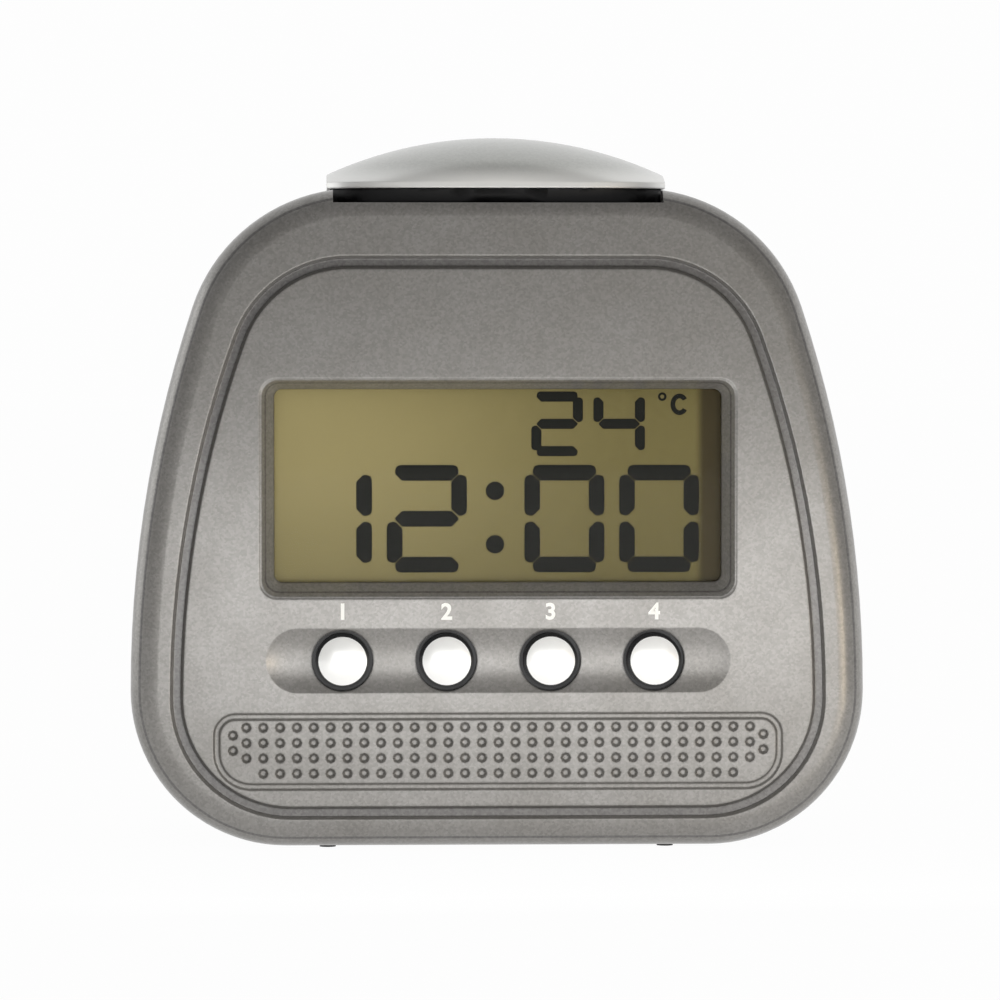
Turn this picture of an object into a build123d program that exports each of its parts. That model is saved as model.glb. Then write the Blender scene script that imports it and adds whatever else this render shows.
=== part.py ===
from build123d import *
from math import atan2, cos, degrees, floor, pi, radians, sin, sqrt, tan
import os

# Talking clock with a liquid crystal display, a crowned push button on top and a battery bay behind.
# Lengths are in millimetres. X runs to the right, Z up, and the front faces -Y.
# Pieces are drawn with y counted back from the face of the front panel and z from the underside of
# the case. save() moves them so that the origin is the middle of the footprint, at the feet.

# Case
case_width = 85
case_height = 76.1
case_depth = 42
low_corner = 18
high_corner = 20
side_arc = 140
wall = 2
front_wall = 2.2
back_wall = 2
parting = 12
rim_radius = 3.2
seam_chamfer = 0.3
back_side_draw = 4
back_top_draw = 1.5
back_base_draw = 0.8
back_radius = 7
hollow_corner = 3
lip_length = 1.5
overrun = 5

# Running and seating clearances
seat_gap = 0.1
slide_gap = 0.15
door_gap = 0.3

# Groove round the front panel
panel_side_margin = 4.6
panel_base_margin = 3.25
panel_top_margin = 7.8
panel_low_corner = 14
panel_high_corner = 14
panel_side_arc = 122
groove_width = 1.55
groove_depth = 0.8
groove_slope = 0.35

# Display window, display and its holder
window_width = 54.9
window_height = 25.2
window_z = 41.45
window_corner = 2
bezel_side = 1.6
bezel_rise = 1.45
bezel_lift = 0.3
view_corner = 0.9
window_chamfer = 0.3
pane_width = 55
pane_height = 29.4
pane_z = 41.7
lens_thickness = 1
polariser_thickness = 0.2
glass_thickness = 0.7
glass_ledge = 3
reflector_thickness = 0.2
frame_wall = 1.2
frame_depth = 4.6
holder_wall = 1.4
holder_face = 0.8
zebra_length = 50
zebra_width = 1.6

# Front buttons in their trough
button_count = 4
button_pitch = 12
button_row_z = 21.6
trough_width = 53.7
trough_height = 7.5
trough_depth = 0.9
button_hole_radius = 3.55
button_radius = 3.13
button_proud = 1.2
button_crown = 0.9
button_flange_radius = 4.05
button_flange_thickness = 1
button_stem_radius = 1.9
button_travel = 0.5
guide_gap = 0.3
guide_wall = 0.9
guide_length = 3

# Dimple pad under the buttons
pad_width = 65.9
pad_height = 9
pad_base = 6.6
pad_high_corner = 2.6
pad_low_corner = 4.4
pad_groove_width = 0.9
pad_groove_depth = 0.4
pad_groove_slope = 0.25
dimple_radius = 0.62
dimple_depth = 0.6
dimple_pitch = 1.94
dimple_row_pitch = 1.77
dimple_row_count = 4
dimple_top_margin = 1.7
dimple_side_margin = 3.5
dimple_sides = 8
dimple_slope = 0.32
end_dimple_step = 1.55

# Main board, its switches and parts
board_width = 68
board_height = 43
board_base = 14
board_front = 9
board_thickness = 1.2
board_corner = 2
boss_radius = 2.1
board_screw_x = 31.6
board_screw_low = 17
board_screw_high = 51
board_screw_radius = 0.8
board_screw_grip = 4.5
screw_head_radius = 1.7
screw_head_height = 1.2
switch_size = 6
switch_height = 3.1
switch_corner = 0.5
switch_stem_radius = 1.7
switch_stem_proud = 1.1
switch_stem_seat = 0.6
chip_cover_radius = 6.5
chip_cover_height = 1.8
chip_x = -9
chip_z = 36
crystal_radius = 1
crystal_length = 6
crystal_x = 12
crystal_z = 46
capacitor_radius = 2.5
capacitor_height = 7
capacitor_edge = 0.3
capacitor_x = 20
capacitor_z = 38
resistor_length = 2
resistor_width = 1.25
resistor_height = 0.5
resistor_count = 5
resistor_pitch = 3
resistor_x = 6
resistor_z = 28

# Talk button on top, its springs and its switch
talk_y = 15
talk_half_width = 19.7
talk_half_depth = 12.8
talk_crown_radius = 47
talk_rise = 6.1
talk_rim = 0.7
talk_float = 0.05
talk_wall = 1.5
talk_travel = 1.5
well_gap = 0.4
well_depth = 3.2
well_wall = 1.6
notch_half_width = 19.05
notch_drop = 1.7
carrier_drop = 1.15
carrier_seat = 0.65
skirt_inset = 0.4
post_radius = 2
post_gap = 0.4
spring_x = 8
spring_mean_radius = 2.3
spring_wire = 0.5
spring_turns = 5
coil_arcs_in_turn = 4
coil_points_in_arc = 6
wire_flats = 6
spring_cup_gap = 0.35
spring_cup_wall = 0.5
spring_cup_depth = 3
spring_cup_roof = 0.8
spring_pip_gap = 0.4
spring_pip_height = 1
leg_x = 16
leg_thickness = 1.2
leg_width = 3
leg_hook = 0.8
leg_hook_height = 1.2
leg_gap = 0.3
talk_board_half_width = 12
talk_board_front = 11
talk_board_back = 24
talk_board_thickness = 1.2
talk_post_x = 9
talk_post_y = 20.5
talk_post_radius = 2.1
talk_switch_size = 8
talk_switch_height = 5
talk_stem_radius = 1.5
talk_stem_proud = 1.8
talk_stem_seat = 2.2
post_reach = 0.9

# Screws that close the case
case_screw_places = ((30.5, 9.5), (25, 63.5))
case_screw_radius = 1.3
case_screw_grip = 6
case_head_radius = 2.3
case_head_height = 1.8
case_head_edge = 0.6
screw_boss_radius = 3
screw_well_radius = 2.8
screw_well_wall = 1
screw_floor = 4.5
drive_recess = 1

# Speaker
speaker_z = 52
speaker_radius = 14
speaker_depth = 4.6
speaker_flange = 1
speaker_basket_radius = 12
speaker_steel = 0.6
magnet_radius = 8
magnet_depth = 3.4
cone_radius = 11.4
cone_crown = 1.2
cone_thickness = 0.3
seat_wall = 1.4
seat_depth = 6
slot_height = 1.4
slot_pitch = 3
slot_field_radius = 11.5

# Battery bay, cells and contacts
cell_radius = 5.25
cell_length = 43.6
nub_radius = 1.9
nub_length = 0.9
cell_gap = 0.4
contact_thickness = 0.4
battery_spring_room = 3.6
bay_wall = 2.5
bay_floor = 1.5
bay_base = 11.3
bay_depth = 11.3
contact_width = 8
tab_width = 3
tab_reach = 2
tab_gap = 0.2
battery_wire = 0.5
battery_spring_turns = 3.5
battery_spring_base = 3.2
battery_spring_tip = 2.1

# Battery door
door_width = 52
door_height = 25.6
door_base = 10
door_thickness = 1.6
door_sink = 0.3
door_ledge_gap = 0.2
door_corner = 1.5
pin_radius = 0.55
pin_length = 0.9
pin_clearance = 0.06
latch_width = 8
latch_depth = 1.2
latch_thickness = 1
latch_gap = 0.4
finger_radius = 6
finger_depth = 0.9
grip_count = 3
grip_length = 14
grip_width = 0.7
grip_height = 0.25
grip_pitch = 1.8

# Feet
foot_x = 19.7
foot_stand = 0.5
front_foot_y = 7
rear_foot_y = 31
foot_radius = 0.95
foot_hole_gap = 0.05
foot_seat = 1.2

# Air slits and the temperature sensor
slit_count = 5
slit_width = 1
slit_length = 9
slit_pitch = 2.2
slit_x = 12
slit_y = 21
bead_radius = 1.3
lead_diameter = 0.5
lead_spread = 1.3
bead_y = 19
bead_z = 5.5
sensor_board_z = 18

# Insulated wires
wire_diameter = 0.9
wire_sides = 8
bend_share = 0.45
speaker_wire_run = 9
speaker_wire_reach = 17
speaker_wire_drop = 4
speaker_wire_spread = 2
battery_wire_run = 5
battery_wire_reach = 10
battery_wire_side = 2
battery_wire_rise = 5
talk_wire_x = 3
talk_wire_y = 19
talk_wire_run = 5
talk_wire_turn = 3
talk_wire_drop = 9
sensor_lead_run = 5
sensor_lead_drop = 6

# Places worked out from the sizes above
lens_back = front_wall + lens_thickness
front_glass_face = lens_back + polariser_thickness
rear_glass_face = front_glass_face + glass_thickness
reflector_face = rear_glass_face + glass_thickness
holder_front = reflector_face + reflector_thickness
board_back = board_front + board_thickness
pane_base = pane_z - pane_height / 2
base_z = case_height + talk_float
well_floor = case_height - well_depth
tub_base = well_floor - well_wall
bay_width = cell_length + nub_length + battery_spring_room + 2 * contact_thickness
bay_height = 4 * cell_radius + 3 * cell_gap
door_face = case_depth - door_sink
door_back = door_face - door_thickness
ledge_y = door_back - door_ledge_gap
bay_front = ledge_y - bay_depth
door_axis_y = door_face - door_thickness / 2
door_axis_z = door_base + door_thickness / 2
cell_y = bay_front + cell_gap + cell_radius
low_cell_z = bay_base + cell_gap + cell_radius
high_cell_z = low_cell_z + 2 * cell_radius + cell_gap
post_foot = tub_base - post_reach
talk_switch_top = post_foot - talk_stem_proud
front_reach = button_proud
overall_depth = case_depth + front_reach


def in_front_plane(depth):
    """Plane facing the front, at a depth behind the panel, with its own x to the right and y up."""
    return Plane.XZ.offset(-depth)


def slab(face, front, back):
    """Prism of a face drawn as seen from the front, between two depths."""
    return extrude(in_front_plane(back) * face, back - front)


def tapered_slab(front_face, back_face, front, back):
    """Straight-sided loft between two faces at two depths."""
    return loft([in_front_plane(front) * front_face, in_front_plane(back) * back_face], ruled=True)


def rod(x, z, radius, front, back):
    """Round bar that runs from front to back."""
    return slab(Pos(x, z) * Circle(radius), front, back)


def column(x, y, radius, low, high):
    """Round bar that stands upright."""
    return extrude(Pos(x, y, low) * Circle(radius), high - low)


def block(x_range, y_range, z_range):
    """Box between pairs of limits."""
    low = Vector(x_range[0], y_range[0], z_range[0])
    high = Vector(x_range[1], y_range[1], z_range[1])
    size = high - low
    return Pos(*((low + high) / 2)) * Box(size.X, size.Y, size.Z)


def about(centre, width):
    """Pair of limits either side of a centre."""
    return (centre - width / 2, centre + width / 2)


def rounded_rectangle(width, height, z, radius):
    """Rectangle with four equal corners, centred on x = 0 at a height."""
    return Pos(0, z) * RectangleRounded(width, height, radius)


def arched_outline(half_width, base, top, low_radius, high_radius, long_radius, inset):
    """Face with a flat base and top. Each side is a low corner, a long arc and a high corner, tangent."""
    low = Vector(half_width - low_radius, base + low_radius)
    long_arc = Vector(half_width - long_radius, low.Y)
    rise = top - high_radius - low.Y
    reach = sqrt((long_radius - high_radius) ** 2 - rise**2)
    high = Vector(long_arc.X + reach, low.Y + rise)
    lean = degrees(atan2(rise, reach))
    right = Curve() + [
        CenterArc(low, low_radius - inset, -90, 90),
        CenterArc(long_arc, long_radius - inset, 0, lean),
        CenterArc(high, high_radius - inset, lean, 90 - lean),
    ]
    base_line = Line((-low.X, base + inset), (low.X, base + inset))
    top_line = Line((high.X, top - inset), (-high.X, top - inset))
    return make_face(base_line + right + top_line + mirror(right, Plane.YZ))


def case_outline(inset=0):
    """Outline of the case at the front and at the parting line."""
    return arched_outline(case_width / 2, 0, case_height, low_corner, high_corner, side_arc, inset)


def back_outline(inset=0):
    """Outline that the rear half narrows to."""
    half_width = case_width / 2 - back_side_draw
    top = case_height - back_top_draw
    low = low_corner - back_base_draw
    high = high_corner - back_top_draw
    return arched_outline(half_width, back_base_draw, top, low, high, side_arc, inset)


def panel_outline(inset=0):
    """Outline of the groove round the front panel."""
    half_width = case_width / 2 - panel_side_margin
    top = case_height - panel_top_margin
    corners = (panel_low_corner, panel_high_corner, panel_side_arc)
    return arched_outline(half_width, panel_base_margin, top, *corners, inset)


def narrowed_outline(depth, inset):
    """Outline of the rear half at a depth, between the parting line and the back."""
    share = (depth - parting) / (case_depth - parting)
    half_width = case_width / 2 - back_side_draw * share
    base = back_base_draw * share
    top = case_height - back_top_draw * share
    low = low_corner - back_base_draw * share
    high = high_corner - back_top_draw * share
    return arched_outline(half_width, base, top, low, high, side_arc, inset)


def front_body():
    """Outside of the front half, with its rounded rim."""
    body = slab(case_outline(), 0, parting)
    body = fillet(body.faces().sort_by(Axis.Y)[0].edges(), rim_radius)
    return chamfer(body.faces().sort_by(Axis.Y)[-1].edges(), seam_chamfer)


def rear_body():
    """Outside of the rear half, drawn in towards a rounded back."""
    body = tapered_slab(case_outline(), back_outline(), parting, case_depth)
    body = fillet(body.faces().sort_by(Axis.Y)[-1].edges(), back_radius)
    seam = parting + seam_chamfer
    kept = tapered_slab(case_outline(seam_chamfer), case_outline(), parting, seam)
    return body - (slab(case_outline(-seam_chamfer), parting, seam) - kept)


def rear_hollow():
    """Inside of the rear half, with its corner at the back cut off aslant."""
    depth = case_depth - back_wall
    bend = depth - hollow_corner
    bend_face = narrowed_outline(bend, wall)
    hollow = tapered_slab(case_outline(wall), bend_face, parting, bend)
    return hollow + tapered_slab(bend_face, narrowed_outline(depth, wall + hollow_corner), bend, depth)


def talk_dome(growth):
    """Crowned loaf: a half ellipse swung about an axis across the case, cut flat at its ends."""
    centre_z = base_z + talk_rim
    rise = talk_rise - talk_rim
    axis = Axis((0, talk_y, centre_z + rise - talk_crown_radius), (0, 1, 0))
    section = Plane(origin=(0, talk_y, centre_z), x_dir=(0, 1, 0), z_dir=(1, 0, 0))
    ring = revolve(section * Ellipse(talk_half_depth + growth, rise + growth), axis)
    half_width = talk_half_width + growth
    keep = block((-half_width, half_width), about(talk_y, case_depth), (centre_z, base_z + case_height))
    return ring & keep


def talk_plan(growth, low, high):
    """Upright prism with the plan of the talk button, grown all round."""
    footprint = talk_dome(growth).faces().sort_by(Axis.Z)[0]
    return extrude(Pos(0, 0, low - base_z - talk_rim) * footprint, amount=high - low, dir=(0, 0, 1))


def well_tub(body):
    """Walls and floor of the well that the talk button sinks into, within one half of the case."""
    tub = talk_plan(well_gap + well_wall, tub_base, case_height)
    return tub & body


def notch_shelf(growth=0):
    """Thicker top under the notch in front of the talk button."""
    half_width = notch_half_width + well_wall + growth
    base = case_height - notch_drop - well_wall - growth
    return block((-half_width, half_width), (front_wall / 2, parting), (base, case_height))


def leg_slot():
    """Slots in the floor of the well, with room for the two snap legs to bend inwards."""
    outer = leg_x + leg_thickness / 2 + leg_gap
    inner = leg_x - leg_thickness / 2 - leg_gap - leg_hook
    y_range = about(talk_y, leg_width + 2 * leg_gap)
    z_range = (tub_base - overrun, well_floor + overrun)
    slot = block((inner, outer), y_range, z_range)
    return slot + mirror(slot, Plane.YZ)


def well_cuts():
    """Everything that is cut from the case for the talk button."""
    well = talk_plan(well_gap, well_floor, case_height + overrun)
    notch = block(
        about(0, 2 * notch_half_width),
        (-overrun, parting),
        (case_height - notch_drop, case_height + overrun),
    )
    post_hole = column(0, talk_y, post_radius + post_gap, tub_base - overrun, case_height)
    return well + notch + post_hole + leg_slot()


def panel_groove():
    """Groove with sloping sides round the front panel."""
    outer = tapered_slab(panel_outline(), panel_outline(groove_slope), 0, groove_depth)
    inner = tapered_slab(
        panel_outline(groove_width), panel_outline(groove_width - groove_slope), 0, groove_depth
    )
    return outer - inner


def pad_outline(inset=0):
    """Outline of the dimple pad, with rounder corners at its base."""
    width = pad_width - 2 * inset
    height = pad_height - 2 * inset
    face = Pos(0, pad_base + pad_height / 2) * Rectangle(width, height)
    face = fillet(face.vertices().group_by(Axis.Y)[-1], pad_high_corner - inset)
    low = face.vertices().group_by(Axis.Y)[0]
    return fillet(low, pad_low_corner - inset)


def pad_groove():
    """Groove with sloping sides round the pad."""
    outer = tapered_slab(pad_outline(), pad_outline(pad_groove_slope), 0, pad_groove_depth)
    inner_floor = pad_outline(pad_groove_width - pad_groove_slope)
    return outer - tapered_slab(pad_outline(pad_groove_width), inner_floor, 0, pad_groove_depth)


def dimple_places():
    """Centres of the dimples: the rows, and two more between the rows at each end."""
    side_count = floor((pad_width / 2 - dimple_side_margin) / dimple_pitch)
    top = pad_base + pad_height - dimple_top_margin
    places = []
    for row in range(dimple_row_count):
        ends = side_count - (row == dimple_row_count - 1)
        z = top - row * dimple_row_pitch
        places += [(column * dimple_pitch, z) for column in range(-ends, ends + 1)]
    end_x = side_count * dimple_pitch + end_dimple_step
    for row in range(dimple_row_count - 2):
        z = top - (row + 1 / 2) * dimple_row_pitch
        places += [(-end_x, z), (end_x, z)]
    return places


def dimples():
    """Blind dimples with sloping sides."""
    mouth = RegularPolygon(dimple_radius, dimple_sides)
    floor_face = RegularPolygon(dimple_radius - dimple_slope, dimple_sides)
    dimple = tapered_slab(mouth, floor_face, 0, dimple_depth)
    return [Pos(x, 0, z) * dimple for x, z in dimple_places()]


def button_places():
    """Centres of the front buttons across the case."""
    return [(index - (button_count - 1) / 2) * button_pitch for index in range(button_count)]


def trough():
    """Shallow round-bottomed trough with ball ends that the buttons stand in."""
    half = trough_height / 2
    radius = (half**2 + trough_depth**2) / (2 * trough_depth)
    reach = trough_width / 2 - half
    centre_y = trough_depth - radius
    bar = Pos(0, centre_y, button_row_z) * Rot(0, 90, 0) * Cylinder(radius, 2 * reach)
    ball = Pos(reach, centre_y, button_row_z) * Sphere(radius)
    return bar + ball + mirror(ball, Plane.YZ)


def window_cut():
    """Window through the panel with sloping sides and an eased edge."""
    outer = rounded_rectangle(window_width, window_height, window_z, window_corner)
    view_width = window_width - 2 * bezel_side
    view_height = window_height - 2 * bezel_rise
    inner = rounded_rectangle(view_width, view_height, window_z + bezel_lift, view_corner)
    cut = tapered_slab(outer, inner, 0, front_wall)
    eased = rounded_rectangle(
        window_width + window_chamfer, window_height + window_chamfer, window_z, window_corner
    )
    return cut + tapered_slab(eased, outer, 0, window_chamfer / 2)


def pane(front, back, trim=0, side_trim=0):
    """Flat plate of the display stack, with its lower edge raised by a trim."""
    height = pane_height - trim
    return slab(Pos(0, pane_z + trim / 2) * Rectangle(pane_width - 2 * side_trim, height), front, back)


def display_frame():
    """Rib behind the panel that holds the edges of the lens and the glass."""
    outer_width = pane_width + 2 * slide_gap + 2 * frame_wall
    outer_height = pane_height + 2 * slide_gap + 2 * frame_wall
    outer = Rectangle(outer_width, outer_height)
    inner = Rectangle(pane_width + 2 * slide_gap, pane_height + 2 * slide_gap)
    return slab(Pos(0, pane_z) * (outer - inner), front_wall, front_wall + frame_depth)


def board_screw_places():
    """Centres of the four screws of the main board."""
    return [(side * board_screw_x, z) for side in (-1, 1) for z in (board_screw_low, board_screw_high)]


def case_screws_xz():
    """Centres of the four screws that close the case."""
    return [(side * x, z) for side in (-1, 1) for x, z in case_screw_places]


def foot_hole(x, y):
    """Blind hole in the underside for a foot."""
    return column(x, y, foot_radius + foot_hole_gap, -overrun, underside(y) + foot_seat)


def underside(y):
    """Height of the underside at a depth."""
    return back_base_draw * max(0, y - parting) / (case_depth - parting)


def feet(y):
    """Pair of rubber pips pressed into the underside."""
    foot = column(foot_x, y, foot_radius, -foot_stand, underside(y) + foot_seat)
    return [foot, mirror(foot, Plane.YZ)]


def front_case():
    """Moulded front half of the case."""
    body = front_body()
    case = body - slab(case_outline(wall), front_wall, parting)
    rebate_front = parting - lip_length - seat_gap
    case -= slab(case_outline(wall / 2), rebate_front, parting)
    case += well_tub(body) + (notch_shelf() & body)
    case += display_frame()
    for x in button_places():
        guide_back = front_wall + guide_length
        inner = button_flange_radius + guide_gap
        case += rod(x, button_row_z, inner + guide_wall, front_wall / 2, guide_back)
        case -= rod(x, button_row_z, inner, front_wall, front_wall + frame_depth)
    for x, z in board_screw_places():
        case += rod(x, z, boss_radius, front_wall / 2, board_front)
        case -= rod(x, z, board_screw_radius + foot_hole_gap, board_screw_grip - seat_gap, board_front)
    for x, z in case_screws_xz():
        case += rod(x, z, screw_boss_radius, front_wall / 2, parting)
        case -= rod(x, z, case_screw_radius + foot_hole_gap, case_screw_grip - seat_gap, parting)
    case -= well_cuts()
    case -= panel_groove()
    case -= trough()
    for x in button_places():
        case -= rod(x, button_row_z, button_hole_radius, -overrun, front_wall)
    case -= window_cut()
    case -= pad_groove()
    case -= dimples()
    for side in (-1, 1):
        case -= foot_hole(side * foot_x, front_foot_y)
    return case


def closing_lip():
    """Lip of the rear half that goes inside the front half, cut away at the well."""
    outer = case_outline(wall / 2 + seat_gap)
    lip = slab(outer - case_outline(wall), parting - lip_length, parting)
    lip -= notch_shelf(seat_gap)
    return lip - talk_plan(well_gap + well_wall + seat_gap, tub_base - overrun, case_height)


def battery_bay():
    """Outside and inside of the battery bay."""
    half = bay_width / 2
    outer = block(
        (-half - bay_wall, half + bay_wall),
        (bay_front - bay_floor, case_depth - back_wall / 2),
        (bay_base - bay_wall, bay_base + bay_height + bay_wall),
    )
    inner = block(
        (-half, half), (bay_front, case_depth + overrun), (bay_base, bay_base + bay_height)
    )
    return outer, inner


def door_recess():
    """Recess in the back that the door lies in, with the sockets of its two pins."""
    width = door_width + 2 * door_gap
    z_range = (door_base - door_gap, door_base + door_height + door_gap)
    recess = block(about(0, width), (ledge_y, case_depth + overrun), z_range)
    reach = door_width / 2 + pin_length + door_gap
    pin_socket = Pos(0, door_axis_y, door_axis_z) * Rot(0, 90, 0)
    return recess + pin_socket * Cylinder(pin_radius + pin_clearance, 2 * reach)


def tab_slots():
    """Slots in the floor of the bay for the solder tabs of the contacts."""
    half = bay_width / 2
    width = tab_width + 2 * tab_gap
    depth = (bay_front - bay_floor - tab_reach, bay_front + tab_gap)
    slots = [
        block((half - contact_thickness - tab_gap, half), depth, about(z, width))
        for z in (low_cell_z, high_cell_z)
    ]
    return slots


def speaker_slots():
    """Rows of slots in the back that fill a round field."""
    rows = floor(slot_field_radius / slot_pitch)
    slots = Sketch()
    for row in range(-rows, rows + 1):
        z = row * slot_pitch
        half_length = sqrt(slot_field_radius**2 - z**2)
        slots += Pos(0, speaker_z + z) * SlotOverall(2 * half_length, slot_height)
    return slab(slots, case_depth - back_wall - seat_gap, case_depth + overrun)


def finger_notch():
    """Shallow half-round notch above the door for a fingertip."""
    top = door_base + door_height
    notch = slab(Pos(0, top) * Circle(finger_radius), case_depth - finger_depth, case_depth + overrun)
    return notch & block(
        about(0, case_width), (0, case_depth + overrun), (top - door_gap, case_height)
    )


def air_slits():
    """Slits in the underside that let room air reach the temperature sensor."""
    half = (slit_count - 1) / 2
    slits = [
        block(
            about(slit_x + (index - half) * slit_pitch, slit_width),
            about(slit_y, slit_length),
            (-overrun, wall + back_base_draw),
        )
        for index in range(slit_count)
    ]
    return slits


def rear_case():
    """Moulded rear half with the battery bay, the speaker seat and the screw wells."""
    body = rear_body()
    case = body - rear_hollow()
    case += well_tub(body)
    bay_outer, bay_inner = battery_bay()
    case += bay_outer & body
    seat_front = case_depth - back_wall - seat_depth
    seat_inner = speaker_radius + slide_gap
    seat = rod(0, speaker_z, seat_inner + seat_wall, seat_front, case_depth - back_wall / 2)
    case += seat - rod(0, speaker_z, seat_inner, seat_front, case_depth - back_wall)
    for x, z in case_screws_xz():
        case += rod(x, z, screw_well_radius + screw_well_wall, parting, case_depth) & body
        case -= rod(x, z, case_screw_radius + slide_gap, parting, case_depth)
        case -= rod(x, z, screw_well_radius, parting + screw_floor, case_depth + overrun)
    for side in (-1, 1):
        case += column(side * talk_post_x, talk_post_y, talk_post_radius, talk_board_top(), tub_base)
        hole = board_screw_radius + foot_hole_gap
        case -= column(side * talk_post_x, talk_post_y, hole, talk_board_top(), talk_switch_top)
    case += closing_lip()
    case -= well_cuts()
    for side in (-1, 1):
        case += spring_pip(side * spring_x)
        case -= foot_hole(side * foot_x, rear_foot_y)
    case -= bay_inner
    case -= door_recess()
    case -= speaker_slots()
    case -= finger_notch()
    for cut in tab_slots() + air_slits():
        case -= cut
    return case


def talk_board_top():
    """Top face of the small board under the well."""
    return talk_switch_top - talk_switch_height


def spring_pip(x):
    """Pip on the floor of the well that centres a spring."""
    radius = spring_mean_radius - spring_wire / 2 - spring_pip_gap
    return column(x, talk_y, radius, well_floor - well_wall / 2, well_floor + spring_pip_height)


def talk_button_cap():
    """Hollow painted dome with an upright rim."""
    cap = talk_dome(0) + talk_plan(0, base_z, base_z + talk_rim)
    hollow = talk_dome(-talk_wall) + talk_plan(-talk_wall, base_z, base_z + talk_rim)
    return cap - hollow


def talk_button_carrier():
    """Dark frame that closes the cap, with a skirt, spring cups, a push post and two snap legs."""
    bottom = base_z - carrier_drop
    plate_top = base_z + carrier_seat
    carrier = talk_plan(-talk_wall - seat_gap, bottom, plate_top) + talk_plan(-skirt_inset, bottom, base_z)
    cup_radius = spring_mean_radius + spring_wire / 2 + spring_cup_gap
    cup_top = bottom + spring_cup_depth
    for side in (-1, 1):
        x = side * spring_x
        carrier += column(x, talk_y, cup_radius + spring_cup_wall, bottom, cup_top + spring_cup_roof)
        carrier -= column(x, talk_y, cup_radius, bottom, cup_top)
        outer = side * (leg_x + leg_thickness / 2)
        inner = side * (leg_x - leg_thickness / 2)
        y_range = about(talk_y, leg_width)
        hook_top = tub_base - seat_gap
        hook_base = hook_top - leg_hook_height
        carrier += block(sorted((inner, outer)), y_range, (hook_base, bottom))
        hook_x = sorted((outer, outer + side * leg_hook))
        carrier += block(hook_x, y_range, (hook_base, hook_top))
    return carrier + column(0, talk_y, post_radius, post_foot, bottom)


def arc_pair(start, start_way, end, end_way):
    """Two tangent arcs from a start to an end, with the direction given at each."""
    chord = end - start
    ways = start_way + end_way
    spread = 2 * (1 - start_way.dot(end_way))
    along = chord.dot(ways)
    handle = (sqrt(along**2 + spread * chord.dot(chord)) - along) / spread
    first = start + start_way * handle
    last = end - end_way * handle
    middle = (first + last) / 2
    middle_way = (last - first).normalized()
    return [
        TangentArc(start, middle, tangent=start_way),
        TangentArc(middle, end, tangent=middle_way),
    ]


def coil(first_radius, last_radius, rise, turns, wire):
    """Coil spring that rises along z from zero, as one wire with six flats, and its least gap to itself."""
    steps = round(coil_arcs_in_turn * turns)

    def place(share):
        radius = first_radius + (last_radius - first_radius) * share
        angle = 2 * pi * turns * share
        return Vector(radius * cos(angle), radius * sin(angle), rise * share)

    def way(share):
        step = 1 / (steps * coil_points_in_arc**3)
        return (place(share + step) - place(share - step)).normalized()

    arcs = []
    for index in range(steps):
        start = index / steps
        end = (index + 1) / steps
        arcs += arc_pair(place(start), way(start), place(end), way(end))
    section = Plane(origin=place(0), z_dir=way(0)) * RegularPolygon(wire / 2, wire_flats)
    count = steps * coil_points_in_arc
    points = [place(index / count) for index in range(count + 1)]
    half_turn = coil_arcs_in_turn * coil_points_in_arc // 2
    apart = min((a - b).length for i, a in enumerate(points) for b in points[i + half_turn :])
    print("coil of", turns, "turns: least gap to itself", round(apart - wire, 2))
    return sweep(section, Wire(arcs))


def talk_springs():
    """Pair of springs that lift the talk button."""
    low = well_floor
    high = base_z - carrier_drop + spring_cup_depth
    rise = high - low - spring_wire
    spring = coil(spring_mean_radius, spring_mean_radius, rise, spring_turns, spring_wire)
    return [Pos(side * spring_x, talk_y, low + spring_wire / 2) * spring for side in (-1, 1)]


def talk_board():
    """Small board that carries the talk switch."""
    top = talk_board_top()
    size = (2 * talk_board_half_width, talk_board_back - talk_board_front)
    centre = (talk_board_front + talk_board_back) / 2
    outline = Pos(0, centre, top - talk_board_thickness) * RectangleRounded(*size, board_corner)
    board = extrude(outline, talk_board_thickness)
    for side in (-1, 1):
        hole = board_screw_radius + slide_gap
        board -= column(side * talk_post_x, talk_post_y, hole, top - talk_board_thickness, top)
    return board


def talk_board_screws():
    """Two screws from below into the posts."""
    under = talk_board_top() - talk_board_thickness
    screws = []
    for side in (-1, 1):
        x = side * talk_post_x
        head = column(x, talk_post_y, screw_head_radius, under - screw_head_height, under)
        shank_top = under + board_screw_grip
        screws.append(head + column(x, talk_post_y, board_screw_radius, under, shank_top))
    return screws


def talk_switch_body():
    """Push switch with a socket for its stem."""
    size = about(0, talk_switch_size)
    body = block(size, about(talk_y, talk_switch_size), (talk_board_top(), talk_switch_top))
    body = chamfer(body.edges().filter_by(Axis.Z), switch_corner)
    socket_depth = talk_stem_seat + talk_travel + seat_gap
    socket_base = talk_switch_top - socket_depth
    return body - column(0, talk_y, talk_stem_radius + seat_gap, socket_base, talk_switch_top)


def talk_switch_stem():
    """Stem of the talk switch, under the push post."""
    return column(0, talk_y, talk_stem_radius, talk_switch_top - talk_stem_seat, post_foot)


def front_button(x):
    """Chromed cap with a domed face, a flange behind the panel and a stem."""
    crown_radius = (button_radius**2 + button_crown**2) / (2 * button_crown)
    flange_front = front_wall + seat_gap
    flange_back = flange_front + button_flange_thickness
    cap = rod(x, button_row_z, button_radius, -button_proud, flange_front)
    cap &= Pos(x, crown_radius - button_proud, button_row_z) * Sphere(crown_radius)
    cap += rod(x, button_row_z, button_flange_radius, flange_front, flange_back)
    return cap + rod(x, button_row_z, button_stem_radius, flange_back, switch_face() - switch_stem_proud)


def switch_face():
    """Front face of the switches on the main board."""
    return board_front - switch_height


def switch_stem(x):
    """Stem of one front switch, against the stem of its button."""
    front = switch_face() - switch_stem_proud
    return rod(x, button_row_z, switch_stem_radius, front, switch_face() + switch_stem_seat)


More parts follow.
